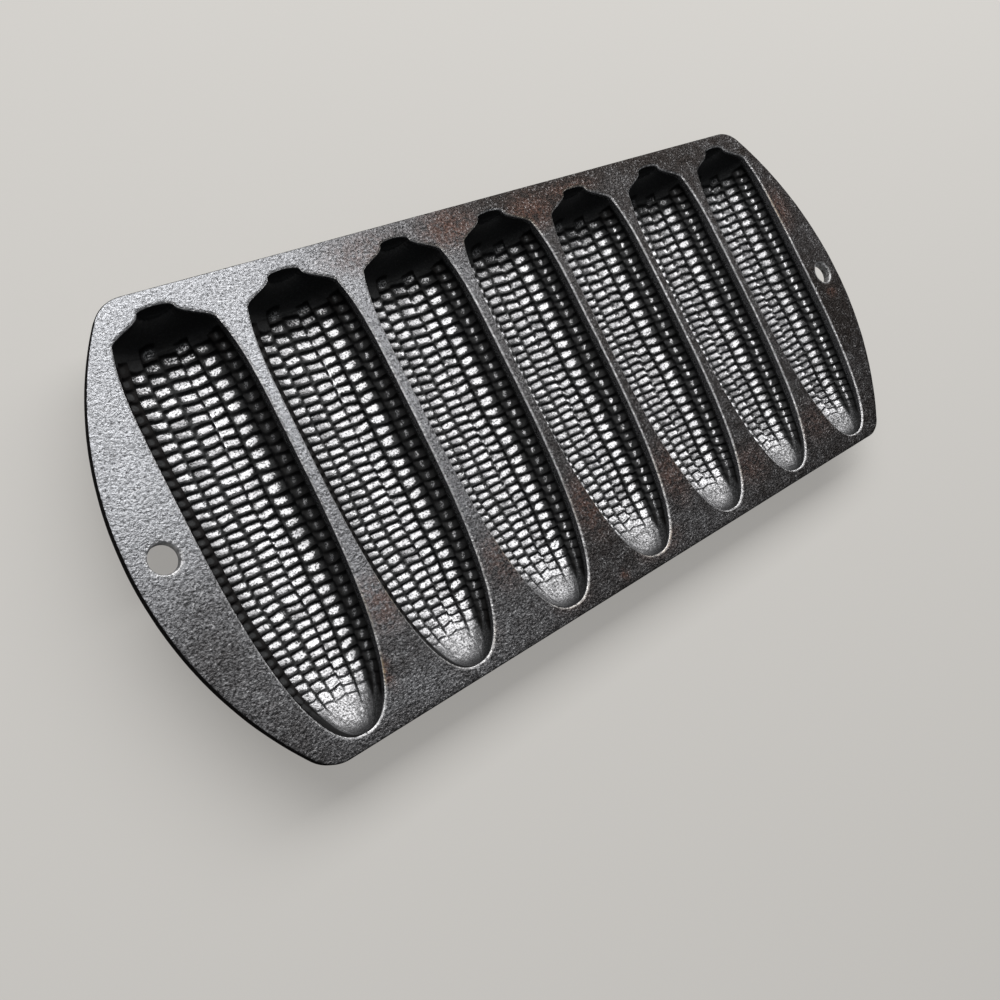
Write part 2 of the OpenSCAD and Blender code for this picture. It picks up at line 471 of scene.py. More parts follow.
@dataclass(frozen=True)
class WearAndSheen:
    """Where the deck is brown with rust, and where it is painted grey as a painted sheen."""

    browns: tuple[Patch, ...] = (
        Patch(-56.0, 66.0, 20.0, 8.0, 0.55),
        Patch(-20.0, 66.0, 15.0, 9.0, 1.0),
        Patch(18.0, 64.0, 13.0, 9.0, 0.9),
        Patch(40.0, 68.0, 18.0, 4.0, 0.7),
        Patch(-107.0, -38.0, 9.0, 11.0, 0.9),
        Patch(-62.0, -44.0, 8.0, 12.0, 0.7),
        Patch(-20.0, -42.0, 8.0, 14.0, 0.9),
        Patch(22.0, -46.0, 8.0, 14.0, 0.8),
        Patch(-85.0, -62.0, 12.0, 7.0, 0.7),
        Patch(-43.0, -66.0, 10.0, 6.0, 0.6),
        Patch(2.0, -66.0, 14.0, 6.0, 0.7),
        Patch(150.0, 34.0, 9.0, 13.0, 0.8),
        Patch(62.0, -58.0, 12.0, 10.0, 0.6),
        Patch(108.0, -56.0, 14.0, 10.0, 0.5),
        Patch(-19.0, -69.5, 2.6, 2.0, 1.3),
        Patch(-115.6, -56.0, 2.5, 8.0, 1.2),
        Patch(158.0, -9.5, 4.0, 3.0, 1.0),
    )
    # Painted sheen: patches that add to the painted grey or take from it.
    sheen_patches: tuple[Patch, ...] = (
        Patch(153.0, -14.0, 14.0, 24.0, -0.35),
        Patch(20.0, 67.0, 22.0, 10.0, -0.20),
        Patch(-108.0, -35.0, 8.0, 20.0, 0.15),
        Patch(-108.0, -66.0, 16.0, 8.0, 0.15),
        Patch(64.0, 67.0, 16.0, 8.0, 0.15),
        Patch(0.0, 74.0, 170.0, 18.0, -0.22),
        Patch(-80.0, -66.0, 46.0, 16.0, 0.22),
        Patch(-160.0, 40.0, 20.0, 30.0, 0.15),
        Patch(-158.0, -24.0, 16.0, 24.0, -0.22),
        Patch(-130.0, -62.0, 16.0, 14.0, 0.25),
        Patch(20.0, -66.0, 60.0, 14.0, 0.08),
        Patch(-64.0, -30.0, 8.0, 26.0, 0.12),
        Patch(144.7, 63.0, 2.6, 1.6, -0.8),
    )
    # Painted sheen: the grey is strongest by the left stem corner and fades away from it.
    pale_x: float = -150.0
    pale_y: float = 70.0
    pale_reach_x: float = 190.0
    pale_reach_y: float = 165.0

    def brown(self, x: np.ndarray, y: np.ndarray) -> np.ndarray:
        """How brown the deck is at each point, from 0 for black to 1 for rust."""
        return np.max([patch.at(x, y) for patch in self.browns], axis=0)

    def pale(self, x: np.ndarray, y: np.ndarray) -> np.ndarray:
        """How much painted sheen the deck has at each point: near 1 by the left stem corner, 0 far from it,
        with lighter and darker patches added.
        """
        far = np.hypot((x - self.pale_x) / self.pale_reach_x, (y - self.pale_y) / self.pale_reach_y)
        return smoothstep(1.0, 0.0, far) + sum(patch.at(x, y) for patch in self.sheen_patches)


class MeshMaker:
    """Turns points and faces into a piece of the object."""

    SHARP = math.radians(62.0)

    def __init__(self, name: str) -> None:
        """Starts an empty piece.

        Args:
            name: The piece's name.
        """
        self.name = name
        self.points: list[np.ndarray] = []
        self.faces: list[tuple[int, ...]] = []
        self.marks: dict[str, list[np.ndarray]] = {}
        self.count = 0

    def add(self, points: np.ndarray, **marks: np.ndarray) -> int:
        """Adds points.

        Args:
            points: An array of X, Y and Z in millimetres, one row a point.
            marks: A number for each point under each name, for the finishes.

        Returns:
            The number of the first new point.
        """
        first = self.count
        self.points.append(points)
        for name, values in marks.items():
            self.marks.setdefault(name, []).append(np.broadcast_to(values, len(points)))
        self.count += len(points)
        return first

    def finish(self, material: bpy.types.Material, slot: Slot, *nodes: str) -> bpy.types.Object:
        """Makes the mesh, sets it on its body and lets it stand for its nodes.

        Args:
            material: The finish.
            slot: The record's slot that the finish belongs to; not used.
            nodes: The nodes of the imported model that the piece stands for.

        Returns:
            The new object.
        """
        mesh = bpy.data.meshes.new(self.name)
        mesh.from_pydata((np.concatenate(self.points) * MM).tolist(), [], self.faces)
        for name, values in self.marks.items():
            layer = mesh.attributes.new(name, "FLOAT", "POINT")
            layer.data.foreach_set("value", np.concatenate(values).astype(np.float32))
        mesh.polygons.foreach_set("use_smooth", [True] * len(mesh.polygons))
        mesh.set_sharp_from_angle(angle=self.SHARP)
        mesh.materials.append(material)
        piece = bpy.data.objects.new(self.name, mesh)
        bpy.context.scene.collection.objects.link(piece)
        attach(piece, "root")
        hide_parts(*nodes)
        LOG.info("%s: %d points, %d faces", self.name, len(mesh.vertices), len(mesh.polygons))
        return piece


@dataclass(frozen=True)
class EarShape:
    """Everything that the seven moulds share: their cross sections, and where they get painted shade as black
    and painted highlights.
    """

    pan: PanSizes = PanSizes()
    outline: EarOutline = EarOutline()
    kernels: Kernels = Kernels()
    depth: float = 16.5
    wall_top: float = 1.0
    rim: float = 1.1
    lip_reach: float = 0.95
    lip_steps: int = 8
    back: float = 1.9
    back_flare: float = 0.9
    fillet_share: float = 0.3
    fillet_drop: float = 0.3
    back_sink: float = 0.8
    back_turn: float = math.radians(86.0)
    back_steps: int = 22
    foot_blend: float = 0.2
    narrow_share: float = 0.25
    steps_in_column: int = 12
    plain_steps: int = 5
    butt_floor_y: float = 66.6
    butt_before: float = 1.0
    fine: Ripple = Ripple(4.2, 40)
    fine_high: float = 0.03
    broad: Ripple = Ripple(24.0, 60)
    broad_high: float = 0.06
    lumps: Ripple = Ripple(16.0, 80)
    lumps_high: float = 0.10
    lumps_span: float = 30.0
    arc_of_degree: float = 0.34
    lip_fade: tuple[float, float] = (90.0, 80.0)
    narrow_half: float = 6.0
    # Painted highlight: a bright line along each lip, centred this far below the deck.
    bright_drop: float = 0.35
    cavity_drop: tuple[float, float] = (0.15, 0.95)
    shifts: tuple[float, ...] = (0.0, -0.1, -0.65, 0.2, 0.1, 0.4, 0.1)
    # Painted shade: how black each mould's kernels are painted, most on the left; the butt and the tip are
    # painted darker too.
    black_and_shade: tuple[float, ...] = (1.06, 1.0, 0.95, 0.90, 0.85, 0.80, 0.75)
    butt_black: float = 0.50
    butt_black_y: tuple[float, float] = (47.0, 58.0)
    tip_black: float = 0.40
    tip_black_more: float = 0.017
    tip_black_y: tuple[float, float] = (-50.0, -62.0)
    worn_y: tuple[float, float] = (-50.0, -61.0)
    # Painted highlight: a bright line along one ridge in the first two moulds.
    fins: tuple[tuple[int, float, float], ...] = ((1, 24.5, 35.5), (2, 27.0, 37.0))
    fin_line: float = 5.0
    fin_ends: float = 2.0
    fin_bright: float = 1.8

    def lip(self) -> list[tuple[float, float]]:
        """Lays out the rounded lip, from the seam to the wall.

        Returns:
            Offset from the outline and height of each of its points.
        """
        points = [(self.rim, 0.0)]
        for i in range(self.lip_steps):
            turn = math.pi / 2.0 * i / (self.lip_steps - 1)
            points.append((self.lip_reach * (1.0 - math.sin(turn)), -self.wall_top * (1.0 - math.cos(turn))))
        return [(offset, self.pan.height + drop) for offset, drop in points[:-1]]

    def fillet(self) -> list[tuple[float, float]]:
        """Offset from the outline and drop below the underside of the two points where the back starts."""
        flare = self.back_flare
        return [(self.back + flare, 0.0), (self.back + self.fillet_share * flare, self.fillet_drop)]

    def lines(self) -> np.ndarray:
        """Lays out the lengthwise lines of the wall, from the left lip to the right.

        Returns:
            Where each lies, counted in columns of kernels.
        """
        count = len(self.kernels.columns)
        plain = np.linspace(-1.0, 0.0, self.plain_steps)[:-1]
        middle = np.linspace(0.0, count, self.steps_in_column * count + 1)
        return np.concatenate([plain, middle, count - plain[::-1]])

    def floor_depth(self, y: np.ndarray) -> np.ndarray:
        """Depth of the mould's lowest line below the deck, at the level of the ridges.

        Args:
            y: Places along the ear.

        Returns:
            The depth at each.
        """
        o = self.outline
        full = self.depth - self.wall_top
        plain = self.wall_top + full * o.half(y) / o.half_width
        neck = self.wall_top + full * o.stem_half / o.half_width
        start = self.wall_top + full * (1.0 - o.butt_taper)
        butt_y = o.shoulder_y - self.butt_before
        slope = start + (neck - start) * smoothstep(butt_y, self.butt_floor_y, y)
        return np.where(y > butt_y, np.minimum(plain, slope), plain)

    def blackness(self, number: int, y: np.ndarray, kernels: np.ndarray) -> np.ndarray:
        """How much painted shade, as black, one mould gets.

        Args:
            number: The mould, from 1 for the leftmost, which gets the most painted shade, to 7.
            y: Places along the ear, as a column.
            kernels: How black the kernels' own pattern is, for every place and line.

        Returns:
            From 0 for bare metal to 1 and more for black, with painted shade on the butt and the tip too.
        """
        tip = self.tip_black + self.tip_black_more * (number - 1)
        ends = self.butt_black * smoothstep(*self.butt_black_y, y) + tip * smoothstep(*self.tip_black_y, y)
        return self.black_and_shade[number - 1] * kernels + ends


@dataclass
class EarMould:
    """One corn ear mould: rim, lip, wall with its kernels, and rounded back.

    It is numbered from 1 on the left to 7. Its lines of points run from the tip to the stem. Each keeps how
    far inside the mould it is, from 0 to 1, and its painted light: above 0 a painted highlight, below 0
    painted shade as black.
    """

    number: int
    shape: EarShape
    relief: DeckRelief
    wear_and_sheen: WearAndSheen
    lines: list[np.ndarray] = field(default_factory=list)
    cavity: list[np.ndarray] = field(default_factory=list)
    rub: list[np.ndarray] = field(default_factory=list)

    def __post_init__(self) -> None:
        """Works out the stations along the ear, which every line of points has."""
        outline = self.shape.outline
        self.x = self.shape.pan.ear_x(self.number)
        self.y = outline.stations()
        self.half = outline.half(self.y)
        self.normal_x, self.normal_y = outline.normals(self.y)

    def offset(self, side: float, distance: float) -> tuple[np.ndarray, np.ndarray]:
        """X and Y of the mouth's outline on one side, moved outwards by a distance."""
        return side * (self.half + distance * self.normal_x), self.y + distance * self.normal_y

    def keep(
        self, x: np.ndarray, y: np.ndarray, z: np.ndarray, cavity: float = 0.0, rub: Numbers = 0.0
    ) -> None:
        """Adds one line of points.

        Args:
            x: X of its points, from the mould's middle.
            y: Y of its points.
            z: Height of its points.
            cavity: How far inside the mould it is.
            rub: How much painted highlight it gets, or below 0 how much painted shade, as black.
        """
        self.lines.append(np.stack([x, y, z], 1))
        self.cavity.append(np.full(len(x), cavity))
        self.rub.append(np.broadcast_to(rub, x.shape))

    def rim_rise(self, x: np.ndarray, y: np.ndarray, z: Numbers) -> np.ndarray:
        """How far the deck's unevenness lifts points of the rim and the lip, less the deeper they lie."""
        flat = np.maximum(0.0, 1.0 - (self.shape.pan.height - z) / self.shape.wall_top)
        return self.relief.top(x, y) * flat

    def add_rim(self, side: float, distance: float, z: float) -> None:
        """Adds a line of the seam or the lip, with a painted highlight a little below its top.

        Args:
            side: 1 for the right side and -1 for the left.
            distance: How far outside the mouth's outline.
            z: Its height.
        """
        x, y = self.offset(side, distance)
        drop = self.shape.pan.height - z
        bright = self.shape.bright_drop
        cavity = float(smoothstep(*self.shape.cavity_drop, np.array(drop)))
        # Painted highlight along the lip, brightest a little below its top.
        rub = math.exp(-(((drop - bright) / bright) ** 2))
        self.keep(x, y, z + self.rim_rise(self.x + x, y, z), cavity, rub)

    def add_below(self, side: float, distance: float, drop: Numbers) -> None:
        """Adds a line under the deck, on one side, at a distance outwards and a drop below the underside."""
        x, y = self.offset(side, distance)
        self.keep(x, y, self.shape.pan.underside - drop + self.relief.bottom(self.x + x, y))

    def add_wall(self) -> None:
        """Adds the lines of the wall and its kernels, from the left lip to the right, with their painted shade
        and highlights.
        """
        s, y = self.shape, self.y
        own = (y - s.shifts[self.number - 1])[:, None]
        lines = s.lines()[None, :]
        angles = s.kernels.angle(own, lines)
        bumps, black = s.kernels.relief(own, lines)
        fine = s.fine.reseeded(self.number).at(y[:, None], angles * s.arc_of_degree)
        broad = s.broad.reseeded(self.number).at(y[:, None], angles * s.arc_of_degree)
        inner = smoothstep(*s.lip_fade, np.abs(angles))
        sink = bumps + (s.fine_high * fine + s.broad_high * broad) * inner
        sink = np.minimum(1.0, self.half / s.narrow_half)[:, None] * sink
        # Painted shade as black, fading out towards the lips.
        rub = -s.blackness(self.number, y[:, None], black) * inner
        # Painted highlight: a bright line along one ridge.
        for number, low, high in s.fins:
            if number == self.number:
                bright = smoothstep(low - s.fin_ends, low, y) * smoothstep(high + s.fin_ends, high, y)
                rub[:, lines[0] == s.fin_line] += s.fin_bright * bright[:, None]
        deep = s.floor_depth(y) - s.wall_top
        for j, angle in enumerate(np.radians(angles).T):
            x = (self.half + sink[:, j]) * np.sin(angle)
            z = s.pan.height - s.wall_top - (deep + sink[:, j]) * np.cos(angle)
            self.keep(x, y, z, 1.0, rub[:, j])

    def add_back(self) -> None:
        """Adds the lines of the rounded back, from the right side under the mould to the left."""
        s, under = self.shape, self.shape.pan.underside
        share = self.half / s.outline.half_width
        blend = np.minimum(1.0, share / s.narrow_share)
        round_back = np.linspace(-s.lumps_span, s.lumps_span, s.back_steps + 5)[len(s.fillet()) :]
        lump = s.lumps_high * s.lumps.reseeded(self.number).at(self.y[:, None], round_back)
        dip = (under + s.back_sink) * share
        for distance, drop in s.fillet():
            self.add_below(1.0, distance, drop * blend)
        for j, turn in enumerate(np.linspace(s.back_turn, -s.back_turn, s.back_steps + 1)):
            x = (self.half + s.back * self.normal_x + lump[:, j]) * math.sin(turn)
            z = under - (dip + lump[:, j] * share) * math.cos(turn)
            self.keep(x, self.y + s.back * self.normal_y, (z + np.sqrt(z * z + s.foot_blend)) / 2.0)
        for distance, drop in s.fillet()[::-1]:
            self.add_below(-1.0, distance, drop * blend)

    def sections(self) -> tuple[np.ndarray, np.ndarray, np.ndarray]:
        """Every cross section of the mould, going round it from the left seam's foot.

        Returns:
            Points as stations by points by 3, how far inside the mould each is, and its painted highlight or
            shade.
        """
        s = self.shape
        self.add_below(-1.0, s.rim, 0.0)
        for distance, z in s.lip():
            self.add_rim(-1.0, distance, z)
        self.add_wall()
        for distance, z in s.lip()[::-1]:
            self.add_rim(1.0, distance, z)
        self.add_below(1.0, s.rim, 0.0)
        self.add_back()
        points = np.stack(self.lines, 1)
        points[:, :, 2] = np.maximum(points[:, :, 2], 0.0)
        return points, np.stack(self.cavity, 1), np.stack(self.rub, 1)

    def end_points(self, end_y: float, out: float) -> np.ndarray:
        """The points in which the lines meet at one end of the mould.

        Args:
            end_y: Y of the outline's end.
            out: Which way is outwards along Y, 1 or -1.

        Returns:
            The seam's foot, the lip's points, the wall's end, the fillet's two points and the back's end.
        """
        s, under = self.shape, self.shape.pan.underside
        places = [(s.rim, under), *s.lip(), (0.0, s.pan.height - s.wall_top)]
        places += [(distance, under) for distance, _ in s.fillet()] + [(s.back, under)]
        points = np.array([[self.x, end_y + out * distance, z] for distance, z in places])
        lip, below = slice(1, len(s.lip()) + 1), [0, -3, -2]
        points[lip, 2] += self.rim_rise(*points[lip].T)
        points[below, 2] += self.relief.bottom(*points[below, :2].T)
        return points

    def close(self, maker: MeshMaker, ring: list[int], joins: list[int], out: float) -> None:
        """Closes the mould at one end.

        Args:
            maker: Takes the points and faces.
            ring: The last cross section's points.
            joins: For each of them, the end point that its line runs to.
            out: 1 for the stem's end and -1 for the tip's.
        """
        outline = self.shape.outline
        ends = self.end_points(outline.stem_y if out > 0.0 else outline.tip_y, out)
        none = np.zeros(len(ends))
        cavity = (np.arange(len(ends)) == len(self.shape.lip()) + 1).astype(float)
        pale = self.wear_and_sheen.pale(*ends[:, :2].T)
        first = maker.add(ends, cavity=cavity, rub=none, brown=none, pale=pale, worn=none + (out < 0.0))
        for a, b, from_a, from_b in zip(ring, ring[1:] + ring[:1], joins, joins[1:] + joins[:1]):
            face = (a, b, first + from_b, first + from_a) if from_a != from_b else (a, b, first + from_a)
            maker.faces.append(face if out < 0.0 else face[::-1])

    def build(self, material: bpy.types.Material) -> bpy.types.Object:
        """Makes the mould's mesh.

        Args:
            material: The mould's finish.

        Returns:
            The piece.
        """
        s = self.shape
        points, cavity, rub = self.sections()
        points[:, :, 0] += self.x
        flat, cavity = points.reshape(-1, 3), cavity.reshape(-1)
        x, y = flat[:, 0], flat[:, 1]
        maker = MeshMaker(f"corn_ear_{self.number}")
        marks = {"brown": self.wear_and_sheen.brown(x, y) * (1.0 - cavity), "pale": self.wear_and_sheen.pale(x, y)}
        maker.add(flat, cavity=cavity, rub=rub.reshape(-1), worn=smoothstep(*s.worn_y, y), **marks)
        rings = np.arange(len(flat)).reshape(points.shape[:2])
        near, far = rings[:-1], rings[1:]
        quads = np.stack([near, far, np.roll(far, -1, 1), np.roll(near, -1, 1)], -1).reshape(-1, 4)
        maker.faces.extend(map(tuple, quads.tolist()))
        lips = len(s.lip())
        rim = list(range(lips + 1))
        fillet = [lips + 2, lips + 3]
        joins = rim + [lips + 1] * len(s.lines()) + rim[::-1]
        joins += fillet + [lips + 4] * (s.back_steps + 1) + fillet[::-1]
        self.close(maker, rings[0].tolist(), joins, -1.0)
        self.close(maker, rings[-1].tolist(), joins, 1.0)
        return maker.finish(material, Slot.MOULD, f"ear_mould_{self.number}")


@dataclass(frozen=True)
class Deck:
    """The flat deck plate, meshed once and divided into its regions. Its edges are rounded, with painted
    highlights on the holes' rims and painted shade on the outer sides.
    """

    shape: EarShape
    relief: DeckRelief
    wear_and_sheen: WearAndSheen
    round: float = 0.5
    hole_round: float = 0.7
    levels: int = 5
    hole_steps: int = 72
    outline_steps: tuple[int, int, int] = (62, 18, 86)
    border: float = 2.4
    grid: float = 1.7
    row_share: float = 0.866
    clearance: float = 0.75
    cut_reach: float = 0.6
    weld: float = 1e-5
    # Painted highlight values on the edges and the holes' rims, and painted shade on the outer sides.
    edge_rub: float = 0.2
    edge_rub_from: tuple[float, float] = (1.6, 0.3)
    hole_rub_from: tuple[float, float] = (1.4, 0.2)
    side_black: float = -2.0
    side_reach: float = 0.2

    @property
    def pan(self) -> PanSizes:
        """The pan's driving sizes."""
        return self.shape.pan

    def outline(self, inset: float) -> np.ndarray:
        """The deck's outline moved inwards.

        Args:
            inset: How far, in millimetres.

        Returns:
            A closed ring of points, anticlockwise.
        """
        p = self.pan
        in_arc, in_corner, in_edge = self.outline_steps
        turn = np.linspace(0.0, p.corner_turn, in_arc)
        reach = p.end_radius - inset
        arc = np.stack([p.end_x + reach * np.cos(turn), reach * np.sin(turn)], 1)
        turn = np.linspace(p.corner_turn, math.pi / 2.0, in_corner)[1:]
        reach = p.corner_radius - inset
        corner = np.stack([p.corner_x + reach * np.cos(turn), p.corner_y + reach * np.sin(turn)], 1)
        x = np.linspace(p.corner_x, 0.0, in_edge)[1:]
        edge = np.stack([x, np.full(len(x), p.width / 2.0 - inset)], 1)
        quarter = np.concatenate([arc, corner, edge])
        upper = np.concatenate([quarter, quarter[-2::-1] * [-1.0, 1.0]])
        return np.concatenate([upper, upper[-2:0:-1] * [1.0, -1.0]])

    def edge_distance(self, x: np.ndarray, y: np.ndarray) -> np.ndarray:
        """Distance inwards from the deck's outline.

        Args:
            x: X of the points.
            y: Y of the points.

        Returns:
            The distance of each, 0 on the outline.
        """
        p = self.pan
        px, py = np.abs(x), np.abs(y)
        vx, vy = px - p.corner_x, py - p.corner_y
        turn = np.arctan2(vy, vx)
        corner = p.corner_radius - np.hypot(vx, vy)
        plain = np.minimum(p.width / 2.0 - py, p.end_radius - np.hypot(px - p.end_x, py))
        return np.where((turn > p.corner_turn) & (turn < math.pi / 2.0), corner, plain)

    def hole_distance(self, x: np.ndarray, y: np.ndarray, side: float) -> np.ndarray:
        """Distance of each point from the edge of the hole on one side, below 0 inside the hole."""
        return np.hypot(x - side * self.pan.hole_x, y) - self.pan.hole_radius

    @staticmethod
    def rounding(distance: np.ndarray, radius: float) -> np.ndarray:
        """Drop of a face towards a rounded edge."""
        back = np.clip(radius - distance, 0.0, radius)
        return radius - np.sqrt(radius * radius - back * back)

    def seam(self) -> np.ndarray:
        """The seam round a mould on the pan's middle.

        Returns:
            A closed ring of points, from the tip up the right side and down the left.
        """
        outline, rim = self.shape.outline, self.shape.rim
        middle = EarMould((self.pan.moulds + 1) // 2, self.shape, self.relief, self.wear_and_sheen)
        right = np.stack(middle.offset(1.0, rim), 1)
        tip, stem = [[0.0, outline.tip_y - rim]], [[0.0, outline.stem_y + rim]]
        return np.concatenate([tip, right, stem, right[::-1] * [-1.0, 1.0]])

    def rings(self) -> list[np.ndarray]:
        """Every closed ring that the mesh follows, round the edges and the holes, and the moulds' seams last.

        Returns:
            The points of each ring.
        """
        p = self.pan
        levels = 1.0 - np.cos(np.linspace(0.0, math.pi / 2.0, self.levels))
        rings = [self.outline(self.round * level) for level in levels] + [self.outline(self.border)]
        turn = np.linspace(0.0, 2.0 * math.pi, self.hole_steps + 1)[:-1]
        circle = np.stack([np.cos(turn), np.sin(turn)], 1)
        for side in (-1.0, 1.0):
            for level in levels:
                rings.append(circle * (p.hole_radius + self.hole_round * level) + [side * p.hole_x, 0.0])
        seam = self.seam()
        return rings + [seam + [p.ear_x(number), 0.0] for number in range(1, p.moulds + 1)]

    def skeleton(self, rings: list[np.ndarray]) -> tuple[np.ndarray, list[tuple[int, int]], list[float]]:
        """Lays out the lines that the mesh follows: the rings, and the cuts between the regions.

        Args:
            rings: The closed rings, the moulds' seams last.

        Returns:
            The points, the pairs of them that are joined, and Y of each cut, the stem's side first.
        """
        p, seam = self.pan, self.seam()
        points = list(rings)
        starts = np.cumsum([0] + [len(ring) for ring in rings]).tolist()
        joins = []
        for start, ring in zip(starts, rings):
            joins += [(start + k, start + (k + 1) % len(ring)) for k in range(len(ring))]
        ears, count = starts[-1 - p.moulds : -1], starts[-1]
        beyond = self.cut_reach * p.length
        cuts = []
        for cut in (p.stem_cut_y, p.tip_cut_y):
            off_right = seam[:, 0] < p.pitch / 4.0
            right = int(np.argmin(np.abs(seam[:, 1] - cut) + p.length * off_right))
            left, y = len(seam) - right, float(seam[right, 1])
            cuts.append(y)
            joins += [(a + right, b + left) for a, b in zip(ears, ears[1:])]
            points.append(np.array([[-beyond, y], [beyond, y]]))
            joins += [(count, ears[0] + left), (ears[-1] + right, count + 1)]
            count += 2
        return np.concatenate(points), joins, cuts

    def filling(self, fixed: np.ndarray) -> np.ndarray:
        """Points of an even triangular grid that fills the deck.

        Args:
            fixed: The points already there, which the grid keeps clear of.

        Returns:
            The grid's points between the moulds and the edges.
        """
        p = self.pan
        tree = KDTree(len(fixed))
        for k, (x, y) in enumerate(fixed):
            tree.insert((x, y, 0.0), k)
        tree.balance()
        across = np.arange(-p.length / 2.0, p.length / 2.0, self.grid)
        along = np.arange(-p.width / 2.0, p.width / 2.0, self.grid * self.row_share)
        x, y = np.meshgrid(across, along)
        x = x + (np.arange(len(along)) % 2)[:, None] * self.grid / 2.0
        x, y = x.ravel(), y.ravel()
        last = (p.moulds - 1) // 2
        number = np.clip(np.round(x / p.pitch), -last, last)
        clear = np.abs(x - number * p.pitch) >= self.shape.outline.half(y)
        clear &= self.edge_distance(x, y) > self.border
        gap = self.clearance * self.grid
        return np.array([place for place in zip(x[clear], y[clear]) if tree.find((*place, 0.0))[2] > gap])

    @staticmethod
    def within(points: np.ndarray, ring: np.ndarray) -> np.ndarray:
        """Tells which points lie inside a closed ring.

        Args:
            points: The points, one row each.
            ring: The ring's points in order.

        Returns:
            True for each point inside.
        """
        x, y = points[:, 0][:, None], points[:, 1][:, None]
        ax, ay = ring[:, 0][None, :], ring[:, 1][None, :]
        bx, by = np.roll(ring[:, 0], -1)[None, :], np.roll(ring[:, 1], -1)[None, :]
        spans = (ay > y) != (by > y)
        rise = np.where(spans, by - ay, 1.0)
        crossing = spans & (x < (bx - ax) * (y - ay) / rise + ax)
        return crossing.sum(1) % 2 == 1

    def webs(self) -> list[str]:
        """The nodes of the webs, from left to right."""
        return [f"{Region.WEB.value}_{number}" for number in range(1, self.pan.moulds)]

    def plan(self) -> tuple[np.ndarray, np.ndarray, np.ndarray]:
        """Triangulates the deck, seen from above.

        Returns:
            The points, the triangles, and the node of each triangle's region.
        """
        p, rings = self.pan, self.rings()
        fixed, joins, (stem_cut, tip_cut) = self.skeleton(rings)
        cloud = [Vector(place) for place in np.concatenate([fixed, self.filling(fixed)]).tolist()]
        found = delaunay_2d_cdt(cloud, joins, [], 0, self.weld)
        points = np.array([(v[0], v[1]) for v in found[0]])
        triangles = np.array([face for face in found[2] if len(face) == 3])
        middle = points[triangles].mean(1)
        keep = self.edge_distance(*middle.T) > 0.0
        for side in (-1.0, 1.0):
            keep &= self.hole_distance(*middle.T, side) > 0.0
        for seam in rings[-p.moulds :]:
            close = np.abs(middle[:, 0] - seam[:, 0].mean()) < p.pitch / 2.0
            keep[close] &= ~self.within(middle[close], seam)
        x, y = middle[keep].T
        column = np.clip(np.floor((x - p.ear_x(1)) / p.pitch), -1, p.moulds - 1).astype(int)
        region = np.array([Region.TAB_LEFT.value, *self.webs(), Region.TAB_RIGHT.value])[column + 1]
        region = np.where(y < tip_cut, Region.TIP_RAIL.value, region)
        return points, triangles[keep], np.where(y > stem_cut, Region.STEM_RAIL.value, region)

    def build(self, material: bpy.types.Material) -> list[bpy.types.Object]:
        """Makes the mesh of every region.

        Args:
            material: The deck's finish.

        Returns:
            The pieces.
        """
        p = self.pan
        points, triangles, region = self.plan()
        x, y = points.T
        from_edge = np.maximum(self.edge_distance(x, y), 0.0)
        drop = self.rounding(from_edge, self.round)
        # Painted highlight on the edges and the holes' rims; painted shade, as black, on the outer sides.
        rub = smoothstep(*self.edge_rub_from, from_edge) * self.edge_rub
        for side in (-1.0, 1.0):
            from_hole = np.maximum(self.hole_distance(x, y, side), 0.0)
            drop = np.maximum(drop, self.rounding(from_hole, self.hole_round))
            rub = np.maximum(rub, smoothstep(*self.hole_rub_from, from_hole))
        rub = np.where(from_edge < self.side_reach, self.side_black, rub)
        high = np.stack([x, y, p.height + self.relief.top(x, y) - drop], 1)
        low = np.stack([x, y, p.underside + self.relief.bottom(x, y) + drop], 1)
        marks = {"cavity": 0.0 * x, "rub": rub, "brown": self.wear_and_sheen.brown(x, y), "pale": self.wear_and_sheen.pale(x, y)}
        pieces = []
        rails = [Region.STEM_RAIL, Region.TIP_RAIL, Region.TAB_LEFT, Region.TAB_RIGHT]
        for node in [rail.value for rail in rails] + self.webs():
            used, flat = np.unique(triangles[region == node], return_inverse=True)
            own = flat.reshape(-1, 3)
            own_marks = {name: values[used] for name, values in marks.items()}
            maker = MeshMaker(f"cast_{node}")
            maker.add(high[used], **own_marks)
            foot = maker.add(low[used], **own_marks)
            maker.faces.extend(map(tuple, own.tolist()))
            maker.faces.extend(map(tuple, (own[:, ::-1] + foot).tolist()))
            sides = {(a, b) for side in ([0, 1], [1, 2], [2, 0]) for a, b in own[:, side].tolist()}
            rim = sorted((a, b) for a, b in sides if (b, a) not in sides)
            maker.faces.extend((b, a, a + foot, b + foot) for a, b in rim)
            pieces.append(maker.finish(material, Slot.DECK, node))
        return pieces


@dataclass(frozen=True)
class Noise:
    """A noise pattern: width of a cell in millimetres, its finer layers, their strength and its stirring."""

    size: float
    detail: float
    rough: float
    skew: float = 0.0


@dataclass(frozen=True)
class Fade:
    """A smooth change: the range that a value is read over, and what is given at its start and its end."""

    low: float
    high: float
    at_low: float = 0.0
    at_high: float = 1.0


